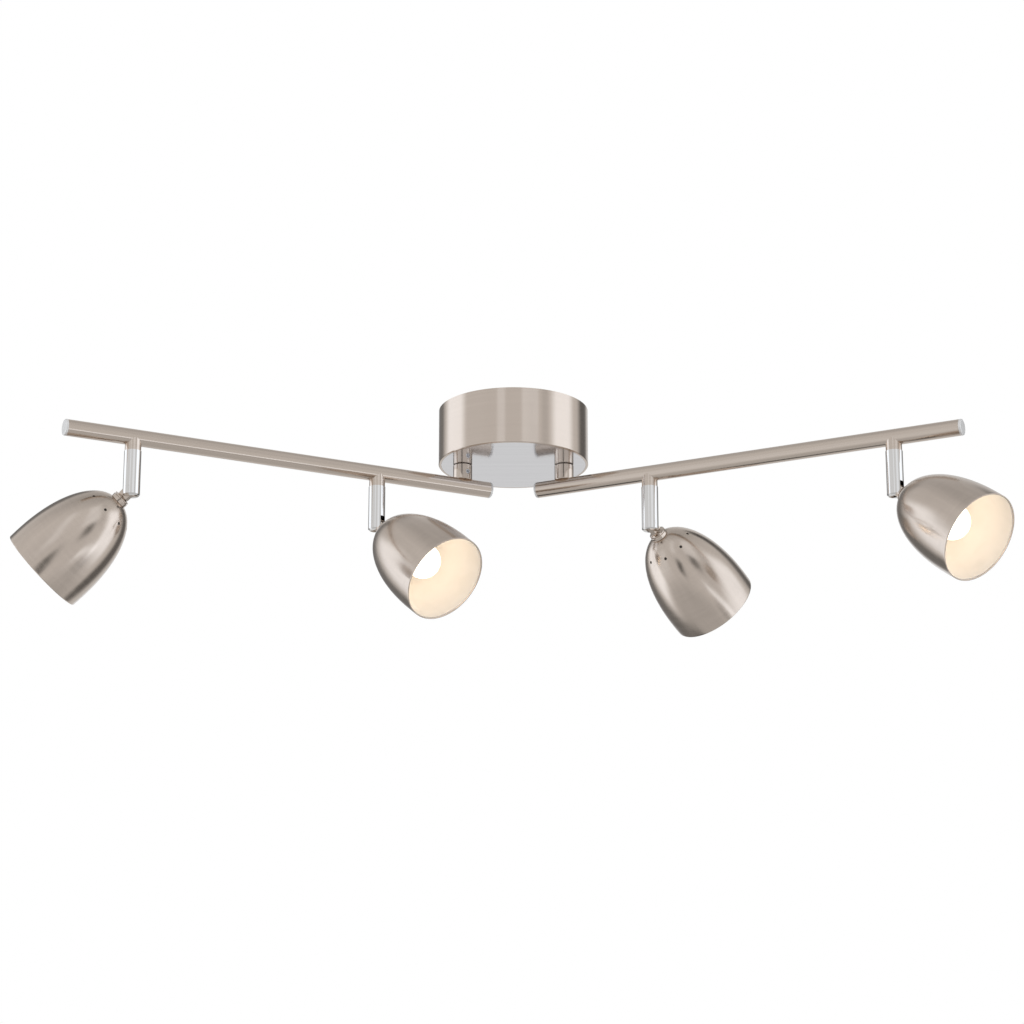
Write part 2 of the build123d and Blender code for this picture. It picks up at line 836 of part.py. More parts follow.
def make_shade(head, name):
    """Spun bell with a flat top, a hole for the neck tube and a ring of small vent holes."""
    hole = neck_tube_radius + seat_clearance
    outside = shade_curve(0.0)
    inside = shade_curve(shade_wall)
    with BuildPart() as shade:
        with BuildSketch(side_view(head)):
            with BuildLine():
                Spline(*outside)
                Line(outside[-1], inside[-1])
                Spline(*inside)
                Polyline(inside[0], (hole, inside[0][1]), (hole, outside[0][1]), outside[0])
            make_face()
        revolve(axis=Axis(head.origin, head.z_dir))
        for index in range(vent_count):
            frame = vent_frame(head, 360 / vent_count * (index + 0.5))
            add_round(frame, -2 * shade_wall, 2 * shade_wall, vent_radius, Mode.SUBTRACT)
    save(shade, f"{name}_shade")


def make_lamp_holder(head, name):
    """Ceramic holder screwed on the neck tube inside the shade, with two sockets for the lamp's pins."""
    bore = neck_tube_radius + running_clearance
    with BuildPart() as holder:
        add_turned(
            head,
            [
                (bore, holder_start),
                (holder_neck_radius, holder_start),
                (holder_neck_radius, holder_shoulder),
                (holder_radius, holder_shoulder),
                (holder_radius, holder_end),
                (0, holder_end),
                (0, neck_tube_end + cut_overrun),
                (bore, neck_tube_end + cut_overrun),
            ],
        )
        with BuildSketch(head.offset(holder_end - lamp_pin_length - cut_overrun)):
            with GridLocations(lamp_pin_spacing, 0, 2, 1):
                Circle(lamp_pin_radius + seat_clearance)
        extrude(amount=lamp_pin_length + 2 * cut_overrun, mode=Mode.SUBTRACT)
    save(holder, f"{name}_lamp_holder")


def make_bulb_base(head, name):
    """Lamp's base with two pins in the holder and a raised seat inside the globe's opening."""
    low = holder_end + face_gap
    seat = globe_centre - other_side(globe_radius, globe_opening_radius)
    inner_seat = other_side(globe_radius - globe_wall, globe_centre - seat) - seat_clearance
    with BuildPart() as base:
        add_turned(
            head,
            [
                (0, low),
                (lamp_foot_radius, low),
                (lamp_waist_radius, lamp_waist),
                (lamp_seat_radius, seat - face_gap),
                (inner_seat, seat - face_gap),
                (inner_seat - lamp_seat_depth, seat + lamp_seat_depth),
                (0, seat + lamp_seat_depth),
            ],
        )
        with BuildSketch(head.offset(low - lamp_pin_length)):
            with GridLocations(lamp_pin_spacing, 0, 2, 1):
                Circle(lamp_pin_radius)
        extrude(amount=lamp_pin_length + cut_overrun)
    save(base, f"{name}_bulb_base")


def make_bulb_globe(head, name):
    """Thin frosted globe, open where it meets the lamp's base."""
    seat = globe_centre - other_side(globe_radius, globe_opening_radius)
    below = (Align.CENTER, Align.MAX)
    behind = (Align.MAX, Align.CENTER)
    with BuildPart() as globe:
        with BuildSketch(side_view(head)):
            with Locations((0, globe_centre)):
                Circle(globe_radius)
                Circle(globe_radius - globe_wall, mode=Mode.SUBTRACT)
            with Locations((0, seat)):
                Rectangle(4 * globe_radius, globe_radius, align=below, mode=Mode.SUBTRACT)
            with Locations((0, globe_centre)):
                Rectangle(2 * globe_radius, 4 * globe_radius, align=behind, mode=Mode.SUBTRACT)
        revolve(axis=Axis(head.origin, head.z_dir))
    save(globe, f"{name}_bulb_globe")


def make_canopy():
    """Everything that stays fixed to the ceiling."""
    make_mounting_plate()
    make_ground_screw()
    make_canopy_wall()
    make_bottom_plate()
    make_plate_ring()
    make_canopy_screws()
    make_terminal_block()
    make_terminal_screws()
    make_stop_studs()
    make_canopy_leads()


def make_arm(side):
    """One arm with its post, swivel, caps, collars and leads."""
    make_arm_tube(side)
    make_arm_post(side)
    make_post_set_screw(side)
    make_pivot_nipple(side)
    make_stop_washer(side)
    make_pivot_nut(side)
    make_end_caps(side)
    make_head_collars(side)
    make_arm_leads(side)


def make_head(side, place, tilt, azimuth):
    """One stem with the head that hangs on it."""
    name = f"{side_names[side]}_{place}"
    stem = stem_frame(side, place, azimuth)
    head = head_frame(stem, tilt)
    make_stem(stem, name)
    make_pivot_pin(stem, name)
    make_knuckle(head, name)
    make_neck_ring(head, name)
    make_shade(head, name)
    make_lamp_holder(head, name)
    make_bulb_base(head, name)
    make_bulb_globe(head, name)


os.makedirs("parts", exist_ok=True)
make_canopy()
for arm_side in side_names:
    make_arm(arm_side)
for pose in head_poses:
    make_head(*pose)
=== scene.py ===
"""Ceiling light with two swivelling arms and four adjustable spot heads, dressed for the studio.

The fixed frame gives every place. This script spins the bells and their linings as new meshes, gives each
part of the light its finish, and sets up a plain studio round it. Lengths are in metres.
"""

import json
import logging
from dataclasses import dataclass, field
from enum import Enum

import bmesh
import bpy
import numpy as np
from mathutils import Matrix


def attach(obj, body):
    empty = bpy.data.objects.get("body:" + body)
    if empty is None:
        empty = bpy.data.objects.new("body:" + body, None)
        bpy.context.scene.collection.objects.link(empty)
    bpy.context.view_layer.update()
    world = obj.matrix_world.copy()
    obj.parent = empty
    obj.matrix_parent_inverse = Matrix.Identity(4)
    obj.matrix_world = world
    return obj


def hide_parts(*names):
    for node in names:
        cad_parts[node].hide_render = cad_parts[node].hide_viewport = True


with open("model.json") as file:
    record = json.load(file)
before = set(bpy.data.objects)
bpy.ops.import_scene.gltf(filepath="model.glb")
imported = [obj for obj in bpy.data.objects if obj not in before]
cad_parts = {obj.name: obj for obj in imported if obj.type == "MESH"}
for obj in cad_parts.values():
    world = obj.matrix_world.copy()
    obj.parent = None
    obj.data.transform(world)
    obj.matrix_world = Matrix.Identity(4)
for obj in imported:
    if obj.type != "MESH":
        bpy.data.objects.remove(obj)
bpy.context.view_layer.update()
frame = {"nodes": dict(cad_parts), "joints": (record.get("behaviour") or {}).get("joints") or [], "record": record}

MM = 0.001
TURN = 2 * np.pi
EDGE_ANGLE = 55.0
UV_NAME = "surface"

Array = np.ndarray
Colour = tuple[float, float, float]
Triple = tuple[float, float, float]
Socket = bpy.types.NodeSocket
Material = bpy.types.Material

log = logging.getLogger("ceiling_light")


class Slot(str, Enum):
    """Named finishes of the light, as its record lists them."""

    BRUSHED_NICKEL = "brushed_nickel"
    POLISHED_NICKEL = "polished_nickel"
    CHROME = "chrome"
    ZINC_STEEL = "zinc_steel"
    GREEN_SCREW = "green_screw"
    IVORY_PLASTIC = "ivory_plastic"
    LEAD_SLEEVE = "lead_sleeve"
    WHITE_CERAMIC = "white_ceramic"
    WHITE_ENAMEL = "white_enamel"
    FROSTED_GLASS = "frosted_glass"


class Side(str, Enum):
    """The two arms."""

    LEFT = "left"
    RIGHT = "right"


# ---------------------------------------------------------------------------------------------------------
# Shapes
# ---------------------------------------------------------------------------------------------------------


@dataclass(frozen=True)
class Axes:
    """Right-handed frame that a shape is worked out in before it is placed."""

    origin: Array
    x: Array
    y: Array
    z: Array

    def place(self, local: Array) -> Array:
        """Local points in the light's frame: origin + x X + y Y + z Z."""
        return self.origin + local @ np.stack([self.x, self.y, self.z])


@dataclass
class Patch:
    """Quads of one stretch of surface, with the surface coordinates of each quad's corners."""

    points: Array
    quads: Array
    coordinates: Array

    def facing_out(self, axes: Axes) -> "Patch":
        """Winds the quads so that they face away from an axis.

        Args:
            axes: frame whose Z is the axis.

        Returns:
            The same patch, turned inside out if its normals pointed to the axis on the whole.
        """
        corner = self.points[self.quads]
        normal = np.cross(corner[:, 2] - corner[:, 0], corner[:, 3] - corner[:, 1])
        middle = corner.mean(axis=1) - axes.origin
        radial = middle - np.outer(middle @ axes.z, axes.z)
        if (normal * radial).sum() < 0:
            self.quads = self.quads[:, ::-1]
            self.coordinates = self.coordinates[:, ::-1]
        return self


def joined(patches: list[Patch]) -> Patch:
    """One patch from several, their points in a row."""
    starts = np.cumsum([0] + [len(patch.points) for patch in patches[:-1]])
    return Patch(
        np.concatenate([patch.points for patch in patches]),
        np.concatenate([patch.quads + start for patch, start in zip(patches, starts)]),
        np.concatenate([patch.coordinates for patch in patches]),
    )


def mesh_object(name: str, patch: Patch, weld: float = 0.002 * MM) -> bpy.types.Object:
    """Makes a smooth mesh object from a patch and welds the patch's seams.

    Args:
        name: the object's name.
        patch: the quads.
        weld: distance under which two points become one.

    Returns:
        The object, at the origin, with one UV map.
    """
    mesh = bpy.data.meshes.new(name)
    mesh.from_pydata(patch.points.tolist(), [], patch.quads.tolist())
    layer = mesh.uv_layers.new(name=UV_NAME)
    layer.data.foreach_set("uv", patch.coordinates.reshape(-1).astype(np.float32))
    work = bmesh.new()
    work.from_mesh(mesh)
    bmesh.ops.remove_doubles(work, verts=work.verts, dist=weld)
    work.to_mesh(mesh)
    work.free()
    mesh.shade_smooth()
    made = bpy.data.objects.new(name, mesh)
    bpy.context.scene.collection.objects.link(made)
    return made


@dataclass
class Bell:
    """Spun bell of a spot head: a flat crown, a superellipse flank and a ring of round vents.

    Heights run along the head's axis from its tilt pin to its mouth. Around the bell a point has an angle,
    and down the bell it has the length of the outline from the crown's hole.
    """

    axes: Axes
    hole: float = 4.7 * MM
    crown: float = 14.6 * MM
    apex: float = 13.5 * MM
    widest: float = 88.0 * MM
    mouth: float = 97.2 * MM
    radius: float = 37.5 * MM
    fullness: float = 2.15
    vent_height: float = 24.5 * MM
    vent_radius: float = 1.2 * MM
    vent_count: int = 8
    columns: int = 128
    row_length: float = 1.1 * MM
    crown_points: int = 200
    flank_points: int = 4000
    ring_shares: tuple[float, ...] = (0.0, 0.4, 0.72, 0.9, 1.0)
    block: int = 3
    inset: float = 0.0
    start_radius: float = 0.0
    stop_short: float = 0.0
    pierced: bool = True
    length: Array = field(init=False, repr=False)
    outline: Array = field(init=False, repr=False)

    def __post_init__(self) -> None:
        """Works out the outline as a table of radius and height against length.

        The flank is a superellipse: radius = R sin(t)^(2/n), height = widest - H cos(t)^(2/n), with n the
        fullness. The inset moves every point inward along the outline's normal.
        """
        power = 2 / self.fullness
        half = self.widest - self.apex
        first = np.arccos(((self.widest - self.crown) / half) ** (1 / power))
        last = np.pi - np.arccos(((self.mouth - self.widest) / half) ** (1 / power))
        angle = np.linspace(first, last, self.flank_points)
        drop = np.sign(np.cos(angle)) * np.abs(np.cos(angle)) ** power
        flank = np.stack([self.radius * np.sin(angle) ** power, self.widest - half * drop], axis=1)
        flat = np.linspace([self.hole, self.crown], flank[0], self.crown_points, endpoint=False)
        line = np.concatenate([flat, flank])
        along = np.gradient(line, axis=0)
        along /= np.linalg.norm(along, axis=1, keepdims=True)
        line = line - self.inset * np.stack([along[:, 1], -along[:, 0]], axis=1)
        line = line[(line[:, 0] >= self.start_radius) & (line[:, 1] <= self.mouth - self.stop_short)]
        steps = np.linalg.norm(np.diff(line, axis=0), axis=1)
        self.length = np.concatenate([[0.0], np.cumsum(steps)])
        self.outline = line

    def surface(self, turn: Array, length: Array) -> Array:
        """Points of the bell: (r cos a, r sin a, h), with r and h read from the outline at a length.

        Args:
            turn: share of a full turn, from the head's pin.
            length: length down the outline.

        Returns:
            Points in the light's frame, in the shape of the inputs.
        """
        radius = np.interp(length, self.length, self.outline[:, 0])
        height = np.interp(length, self.length, self.outline[:, 1])
        local = np.stack([radius * np.cos(TURN * turn), radius * np.sin(TURN * turn), height], axis=-1)
        return self.axes.place(local.reshape(-1, 3)).reshape(local.shape)

    def rows(self) -> tuple[Array, int]:
        """Spaces the grid's rows so that one of them runs through the vents' centres.

        Returns:
            The rows' lengths, and the index of the vents' row.
        """
        vent = np.interp(self.vent_height, self.outline[:, 1], self.length)
        above = max(self.block + 1, int(round(vent / self.row_length)))
        below = int(round((self.length[-1] - vent) / self.row_length))
        upper = np.linspace(0.0, vent, above + 1)
        lower = np.linspace(vent, self.length[-1], below + 1)[1:]
        return np.concatenate([upper, lower]), above

    def sheet(self) -> list[Patch]:
        """The bell as a grid, columns by rows, with a square block of cells left out round each vent.

        A bell that isn't pierced keeps the whole grid.

        Returns:
            The grid, then the rings of quads that close each block up to its vent.
        """
        lengths, vent_row = self.rows()
        turn, length = np.meshgrid(np.arange(self.columns + 1) / self.columns, lengths)
        points = self.surface(turn, length).reshape(-1, 3)
        row, column = np.meshgrid(np.arange(len(lengths) - 1), np.arange(self.columns), indexing="ij")
        pitch = self.columns // self.vent_count
        centred = (column - pitch // 2 + self.block) % pitch
        kept = (np.abs(row - vent_row + 0.5) > self.block) | (centred >= 2 * self.block) | (not self.pierced)
        row, column = row[kept], column[kept]
        width = self.columns + 1
        corner = row * width + column
        quads = np.stack([corner, corner + 1, corner + width + 1, corner + width], axis=1)
        flat = np.stack([turn.reshape(-1), length.reshape(-1)], axis=1)
        patches = [Patch(points, quads, flat[quads])]
        if self.pierced:
            patches += [self.vent_patch(index, lengths, vent_row) for index in range(self.vent_count)]
        return [patch.facing_out(self.axes) for patch in patches]

    def vent_patch(self, index: int, lengths: Array, vent_row: int) -> Patch:
        """Rings of quads that lead from a block's square edge to a vent's round edge.

        Ring k lies at (1 - t) square + t circle in surface coordinates, with t running from 0 to 1.

        Args:
            index: number of the vent.
            lengths: lengths of the grid's rows.
            vent_row: row of the vents' centres.

        Returns:
            The rings as one patch.
        """
        b = self.block
        run = np.arange(-b, b)
        across = np.concatenate([run, np.full(2 * b, b), -run, np.full(2 * b, -b)])
        down = np.concatenate([np.full(2 * b, -b), run, np.full(2 * b, b), -run])
        pitch = self.columns // self.vent_count
        middle = pitch // 2 + index * pitch
        radius = np.interp(lengths[vent_row], self.length, self.outline[:, 0])
        square = np.stack([(middle + across) / self.columns, lengths[vent_row + down]], axis=1)
        centre = np.array([middle / self.columns, lengths[vent_row]])
        scale = np.array([1 / (TURN * radius), 1.0])
        offset = (square - centre) / scale
        circle = centre + self.vent_radius * scale * offset / np.linalg.norm(offset, axis=1, keepdims=True)
        share = np.array(self.ring_shares)[:, None, None]
        rings = (1 - share) * square + share * circle
        points = self.surface(rings[..., 0], rings[..., 1]).reshape(-1, 3)
        count = len(across)
        ring, spoke = np.meshgrid(np.arange(len(share) - 1), np.arange(count), indexing="ij")
        here, there = (ring * count + spoke).reshape(-1), (ring * count + (spoke + 1) % count).reshape(-1)
        quads = np.stack([here, there, there + count, here + count], axis=1)
        return Patch(points, quads, rings.reshape(-1, 2)[quads])


# ---------------------------------------------------------------------------------------------------------
# Node graphs
# ---------------------------------------------------------------------------------------------------------


class Graph:
    """A node tree, filled in by short calls."""

    def __init__(self, tree: bpy.types.NodeTree) -> None:
        """Starts with an empty tree."""
        self.tree = tree
        tree.nodes.clear()

    def add(self, kind: str, inputs: dict | None = None, **settings) -> bpy.types.Node:
        """Adds a node.

        Args:
            kind: the node's type.
            inputs: socket name or number to a value, or to the socket that feeds it.
            settings: properties of the node.

        Returns:
            The new node.
        """
        node = self.tree.nodes.new(kind)
        for name, value in settings.items():
            setattr(node, name, value)
        for key, value in (inputs or {}).items():
            if isinstance(value, bpy.types.NodeSocket):
                self.tree.links.new(value, node.inputs[key])
            else:
                node.inputs[key].default_value = value
        return node

    def math(self, operation: str, *values: float | Socket) -> Socket:
        """Result of one arithmetic step on numbers and sockets."""
        return self.add("ShaderNodeMath", dict(enumerate(values)), operation=operation).outputs[0]

    def vector(self, operation: str, *values: Triple | Socket) -> Socket:
        """Result of one step on vectors."""
        return self.add("ShaderNodeVectorMath", dict(enumerate(values)), operation=operation).outputs[0]

    def spread(self, value: Socket, low: float, high: float) -> Socket:
        """A share from 0 to 1 mapped onto low to high."""
        return self.math("MULTIPLY_ADD", value, high - low, low)

    def blend(self, share: float | Socket, first: Colour | Socket, second: Colour | Socket) -> Socket:
        """Mix of two colours.

        Args:
            share: share of the second colour, from 0 to 1.
            first: colour at share 0.
            second: colour at share 1.

        Returns:
            The mixed colour.
        """
        both = [(*each, 1.0) if isinstance(each, tuple) else each for each in (first, second)]
        node = self.add("ShaderNodeMix", {0: share, 6: both[0], 7: both[1]}, data_type="RGBA")
        return node.outputs[2]

    def ease(self, value: Socket, start: float | Socket, end: float | Socket) -> Socket:
        """A smooth step from 0 at the start to 1 at the end."""
        limits = {0: value, 1: start, 2: end}
        return self.add("ShaderNodeMapRange", limits, interpolation_type="SMOOTHSTEP").outputs[0]

    def noise(self, vector: Socket, scale: float = 1.0, detail: float = 2.0) -> Socket:
        """Cloudy values from 0 to 1."""
        inputs = {"Vector": vector, "Scale": scale, "Detail": detail, "Roughness": 0.55}
        return self.add("ShaderNodeTexNoise", inputs).outputs[0]


class Effects:
    """The effects that several finishes share, each a node group with named sockets."""

    WIDE_SCALE = 0.23
    WIDE_SHARE = 0.8
    CLOUD_TOP = 0.9
    CLOUD_EDGE = 0.3

    def __init__(self) -> None:
        """Builds every group once."""
        self.wrap = self._wrap()
        self.brush = self._brush()
        self.handling = self._handling()
        self.card = self._card()

    @staticmethod
    def _group(name: str, inputs: dict[str, tuple[str, object]], outputs: dict[str, str]) -> tuple:
        """Starts a group.

        Args:
            name: the group's name.
            inputs: socket name to its type and value.
            outputs: socket name to its type.

        Returns:
            The group's graph, its input node and its output node.
        """
        tree = bpy.data.node_groups.new(name, "ShaderNodeTree")
        for label, (kind, value) in inputs.items():
            made = tree.interface.new_socket(name=label, in_out="INPUT", socket_type=f"NodeSocket{kind}")
            if value is not None:
                made.default_value = value
        for label, kind in outputs.items():
            tree.interface.new_socket(name=label, in_out="OUTPUT", socket_type=f"NodeSocket{kind}")
        graph = Graph(tree)
        return graph, graph.add("NodeGroupInput"), graph.add("NodeGroupOutput")

    def _wrap(self) -> bpy.types.NodeTree:
        """Seamless coordinates on a turned surface: (cos a, sin a) times Around, and length times Along.

        Returns:
            The group.
        """
        inputs = {"Surface": ("Vector", None), "Around": ("Float", 1.0), "Along": ("Float", 1.0)}
        graph, given, made = self._group("turned_surface", inputs, {"Vector": "Vector"})
        parts = graph.add("ShaderNodeSeparateXYZ", {0: given.outputs["Surface"]})
        angle = graph.math("MULTIPLY", parts.outputs[0], float(TURN))
        x = graph.math("MULTIPLY", graph.math("COSINE", angle), given.outputs["Around"])
        y = graph.math("MULTIPLY", graph.math("SINE", angle), given.outputs["Around"])
        z = graph.math("MULTIPLY", parts.outputs[1], given.outputs["Along"])
        whole = graph.add("ShaderNodeCombineXYZ", {0: x, 1: y, 2: z})
        graph.tree.links.new(whole.outputs[0], made.inputs["Vector"])
        return graph.tree

    def _brush(self) -> bpy.types.NodeTree:
        """Brush lines: fine streaks of two widths, drawn out along the vector's slow directions.

        Returns:
            The group.
        """
        inputs = {"Vector": ("Vector", None), "Contrast": ("Float", 1.0)}
        graph, given, made = self._group("brush_lines", inputs, {"Lines": "Float", "Height": "Float"})
        fine = graph.noise(given.outputs["Vector"], 1.0, 3.0)
        wide = graph.noise(given.outputs["Vector"], self.WIDE_SCALE, 2.0)
        both = graph.math("MULTIPLY_ADD", graph.math("SUBTRACT", wide, 0.5), self.WIDE_SHARE, fine)
        swing = graph.math("MULTIPLY", graph.math("SUBTRACT", both, 0.5), given.outputs["Contrast"])
        lines = graph.add("ShaderNodeClamp", {0: graph.math("ADD", swing, 0.5)})
        graph.tree.links.new(lines.outputs[0], made.inputs["Lines"])
        graph.tree.links.new(both, made.inputs["Height"])
        return graph.tree

    def _handling(self) -> bpy.types.NodeTree:
        """Soft cloudy patches left by polishing cloths and hands.

        Returns:
            The group.
        """
        inputs = {"Vector": ("Vector", None), "Scale": ("Float", 40.0), "Cover": ("Float", 0.5)}
        graph, given, made = self._group("handling_marks", inputs, {"Mask": "Float"})
        settings = {"Vector": given.outputs["Vector"], "Scale": given.outputs["Scale"]}
        cloud = graph.add("ShaderNodeTexNoise", {**settings, "Detail": 4.0, "Distortion": 0.6}).outputs[0]
        low = graph.math("SUBTRACT", self.CLOUD_TOP, given.outputs["Cover"])
        high = graph.math("ADD", low, self.CLOUD_EDGE)
        graph.tree.links.new(graph.ease(cloud, low, high), made.inputs["Mask"])
        return graph.tree

    def _card(self) -> bpy.types.NodeTree:
        """A soft-edged card in the studio: 1 inside a window of azimuth and elevation, falling to 0 outside.

        Returns:
            The group.
        """
        labels = ("Azimuth", "Elevation", "Centre", "Half width", "Height", "Half height", "Soft")
        inputs = {label: ("Float", 0.0) for label in labels}
        graph, given, made = self._group("studio_card", inputs, {"Value": "Float"})
        away = graph.math("SUBTRACT", given.outputs["Azimuth"], given.outputs["Centre"])
        away = graph.math("WRAP", away, 180.0, -180.0)
        rise = graph.math("SUBTRACT", given.outputs["Elevation"], given.outputs["Height"])
        shares = []
        for distance, half in ((away, "Half width"), (rise, "Half height")):
            outer = graph.math("ADD", given.outputs[half], given.outputs["Soft"])
            inner = graph.math("SUBTRACT", given.outputs[half], given.outputs["Soft"])
            shares.append(graph.ease(graph.math("ABSOLUTE", distance), outer, inner))
        graph.tree.links.new(graph.math("MULTIPLY", *shares), made.inputs["Value"])
        return graph.tree

    def use(self, graph: Graph, group: bpy.types.NodeTree, **inputs: float | Socket) -> bpy.types.Node:
        """Places a group in a graph.

        Args:
            graph: where the group goes.
            group: one of the shared effects.
            inputs: values or sockets for its inputs, named with underscores for spaces.

        Returns:
            The group's node.
        """
        node = graph.add("ShaderNodeGroup", node_tree=group)
        for label, value in inputs.items():
            socket = node.inputs[label.replace("_", " ")]
            if isinstance(value, bpy.types.NodeSocket):
                graph.tree.links.new(value, socket)
            else:
                socket.default_value = value
        return node


# ---------------------------------------------------------------------------------------------------------
# Finishes
# ---------------------------------------------------------------------------------------------------------


@dataclass(frozen=True)
class Finish:
    """What every finish has: a name and the record's slot."""

    name: str
    slot: Slot

    def start(self) -> tuple[Material, Graph, bpy.types.Node]:
        """Starts a material.

        Returns:
            The material, its graph, and its Principled shader joined to its output.
        """
        material = bpy.data.materials.new(self.name)
        material.use_nodes = True
        graph = Graph(material.node_tree)
        shader = graph.add("ShaderNodeBsdfPrincipled")
        graph.add("ShaderNodeOutputMaterial", {"Surface": shader.outputs[0]})
        return material, graph, shader


@dataclass(frozen=True)
class SpunMetal(Finish):
    """Metal brushed round its axis on a surface with its own UV map: light stretches from neck to mouth."""

    colour: Colour
    roughness: float = 0.19
    anisotropy: float = 0.6
    line_pitch: float = 0.55 * MM
    line_wander: float = 2.0
    streak_count: float = 3.2
    streaks_along: float = 14.0
    streak_height: float = 0.08 * MM
    streak_tone: float = 1.5
    line_tone: float = 0.45
    tone_start: float = 0.28
    darkest: float = 0.88
    lightest: float = 1.06
    unevenness: float = 0.03
    line_relief: float = 0.05

    def build(self, effects: Effects) -> Material:
        """Lays brush lines round the part, and slow streaks from neck to mouth that bend the light.

        Args:
            effects: the shared effects.

        Returns:
            The material.
        """
        material, graph, shader = self.start()
        surface = graph.add("ShaderNodeUVMap", uv_map=UV_NAME).outputs[0]
        place = graph.add("ShaderNodeTexCoord").outputs["Object"]
        lines_at = effects.use(
            graph, effects.wrap, Surface=surface, Around=self.line_wander, Along=1 / self.line_pitch,
        )
        streaks_at = effects.use(
            graph, effects.wrap, Surface=surface, Around=self.streak_count, Along=self.streaks_along,
        )
        brush = effects.use(graph, effects.brush, Vector=lines_at.outputs[0], Contrast=1.2)
        streaks = graph.noise(streaks_at.outputs[0], 1.0, 3.0)
        marks = effects.use(graph, effects.handling, Vector=place, Scale=55.0, Cover=0.45).outputs[0]
        swing = graph.math("SUBTRACT", streaks, 0.5)
        tone = graph.math("MULTIPLY_ADD", swing, self.streak_tone, self.tone_start)
        tone = graph.math("MULTIPLY_ADD", brush.outputs["Lines"], self.line_tone, tone)
        dark, light = (tuple(part * share for part in self.colour) for share in (self.darkest, self.lightest))
        colour = graph.blend(tone, dark, light)
        smooth, coarse = self.roughness - self.unevenness, self.roughness + self.unevenness
        rough = graph.spread(brush.outputs["Lines"], smooth, coarse)
        rough = graph.math("MULTIPLY_ADD", marks, self.unevenness, rough)
        height = graph.math("MULTIPLY_ADD", brush.outputs["Height"], self.line_relief, streaks)
        relief = {"Strength": 1.0, "Distance": self.streak_height, "Height": height}
        bump = graph.add("ShaderNodeBump", relief)
        tangent = graph.add("ShaderNodeTangent", direction_type="UV_MAP", uv_map=UV_NAME)
        links = {"Base Color": colour, "Roughness": rough, "Normal": bump.outputs[0]}
        links["Tangent"] = tangent.outputs[0]
        for label, socket in links.items():
            graph.tree.links.new(socket, shader.inputs[label])
        shader.inputs["Metallic"].default_value = 1.0
        shader.inputs["Anisotropic"].default_value = self.anisotropy
        shader.inputs["Anisotropic Rotation"].default_value = 0.25
        return material


@dataclass(frozen=True)
class BrushedMetal(Finish):
    """Metal with brush lines across one direction of space, for a part with no UV map of its own."""

    colour: Colour
    roughness: float = 0.24
    spin: float = 0.0
    stretch: Triple = (40.0, 40.0, 1800.0)
    tone: float = 0.06
    relief: float = 0.01 * MM
    unevenness: float = 0.15
    mark_scale: float = 45.0
    mark_roughness: float = 0.03
    metallic: float = 1.0
    drum: bool = False
    anisotropy: float = 0.0

    def build(self, effects: Effects) -> Material:
        """Lays brush lines by place in space, stretched by an amount for each direction after a spin about Z.

        Args:
            effects: the shared effects.

        Returns:
            The material.
        """
        material, graph, shader = self.start()
        place = graph.add("ShaderNodeTexCoord").outputs["Object"]
        turned = graph.add("ShaderNodeMapping", {"Vector": place, "Rotation": (0.0, 0.0, self.spin)})
        drawn_out = graph.vector("MULTIPLY", turned.outputs[0], self.stretch)
        brush = effects.use(graph, effects.brush, Vector=drawn_out, Contrast=1.2)
        marks = effects.use(graph, effects.handling, Vector=place, Scale=self.mark_scale, Cover=0.45)
        shares = (1 - self.tone, 1 + self.tone)
        dark, light = (tuple(part * share for part in self.colour) for share in shares)
        smooth, coarse = (self.roughness * (1 + change) for change in (-self.unevenness, self.unevenness))
        rough = graph.spread(brush.outputs["Lines"], smooth, coarse)
        rough = graph.math("MULTIPLY_ADD", marks.outputs[0], self.mark_roughness, rough)
        relief = {"Strength": 1.0, "Distance": self.relief, "Height": brush.outputs["Height"]}
        links = {
            "Base Color": graph.blend(brush.outputs["Lines"], dark, light),
            "Roughness": rough,
            "Normal": graph.add("ShaderNodeBump", relief).outputs[0],
        }
        if self.drum:
            parts = graph.add("ShaderNodeSeparateXYZ", {0: place})
            back = graph.math("MULTIPLY", parts.outputs[1], -1.0)
            links["Tangent"] = graph.add("ShaderNodeCombineXYZ", {0: back, 1: parts.outputs[0]}).outputs[0]
        for label, socket in links.items():
            graph.tree.links.new(socket, shader.inputs[label])
        shader.inputs["Metallic"].default_value = self.metallic
        shader.inputs["Anisotropic"].default_value = self.anisotropy
        shader.inputs["Anisotropic Rotation"].default_value = 0.25 if self.drum else 0.0
        return material


@dataclass(frozen=True)
class Coating(Finish):
    """Plastic, ceramic, enamel or paint: a soft colour with fine unevenness and a little cloudiness."""

    colour: Colour
    shade: Colour
    roughness: float = 0.4
    unevenness: float = 0.05
    grain_scale: float = 900.0
    relief: float = 0.01 * MM
    coat: float = 0.0
    mark_scale: float = 60.0

    def build(self, effects: Effects) -> Material:
        """Clouds the colour towards its shade and adds an orange-peel bump.

        Args:
            effects: the shared effects.

        Returns:
            The material.
        """
        material, graph, shader = self.start()
        place = graph.add("ShaderNodeTexCoord").outputs["Object"]
        marks = effects.use(graph, effects.handling, Vector=place, Scale=self.mark_scale, Cover=0.5)
        grain = graph.noise(place, self.grain_scale, 2.0)
        bump = graph.add("ShaderNodeBump", {"Strength": 0.6, "Distance": self.relief, "Height": grain})
        smooth, coarse = self.roughness - self.unevenness, self.roughness + self.unevenness
        links = {
            "Base Color": graph.blend(marks.outputs[0], self.colour, self.shade),
            "Roughness": graph.spread(grain, smooth, coarse),
            "Normal": bump.outputs[0],
        }
        for label, socket in links.items():
            graph.tree.links.new(socket, shader.inputs[label])
        shader.inputs["Coat Weight"].default_value = self.coat
        return material


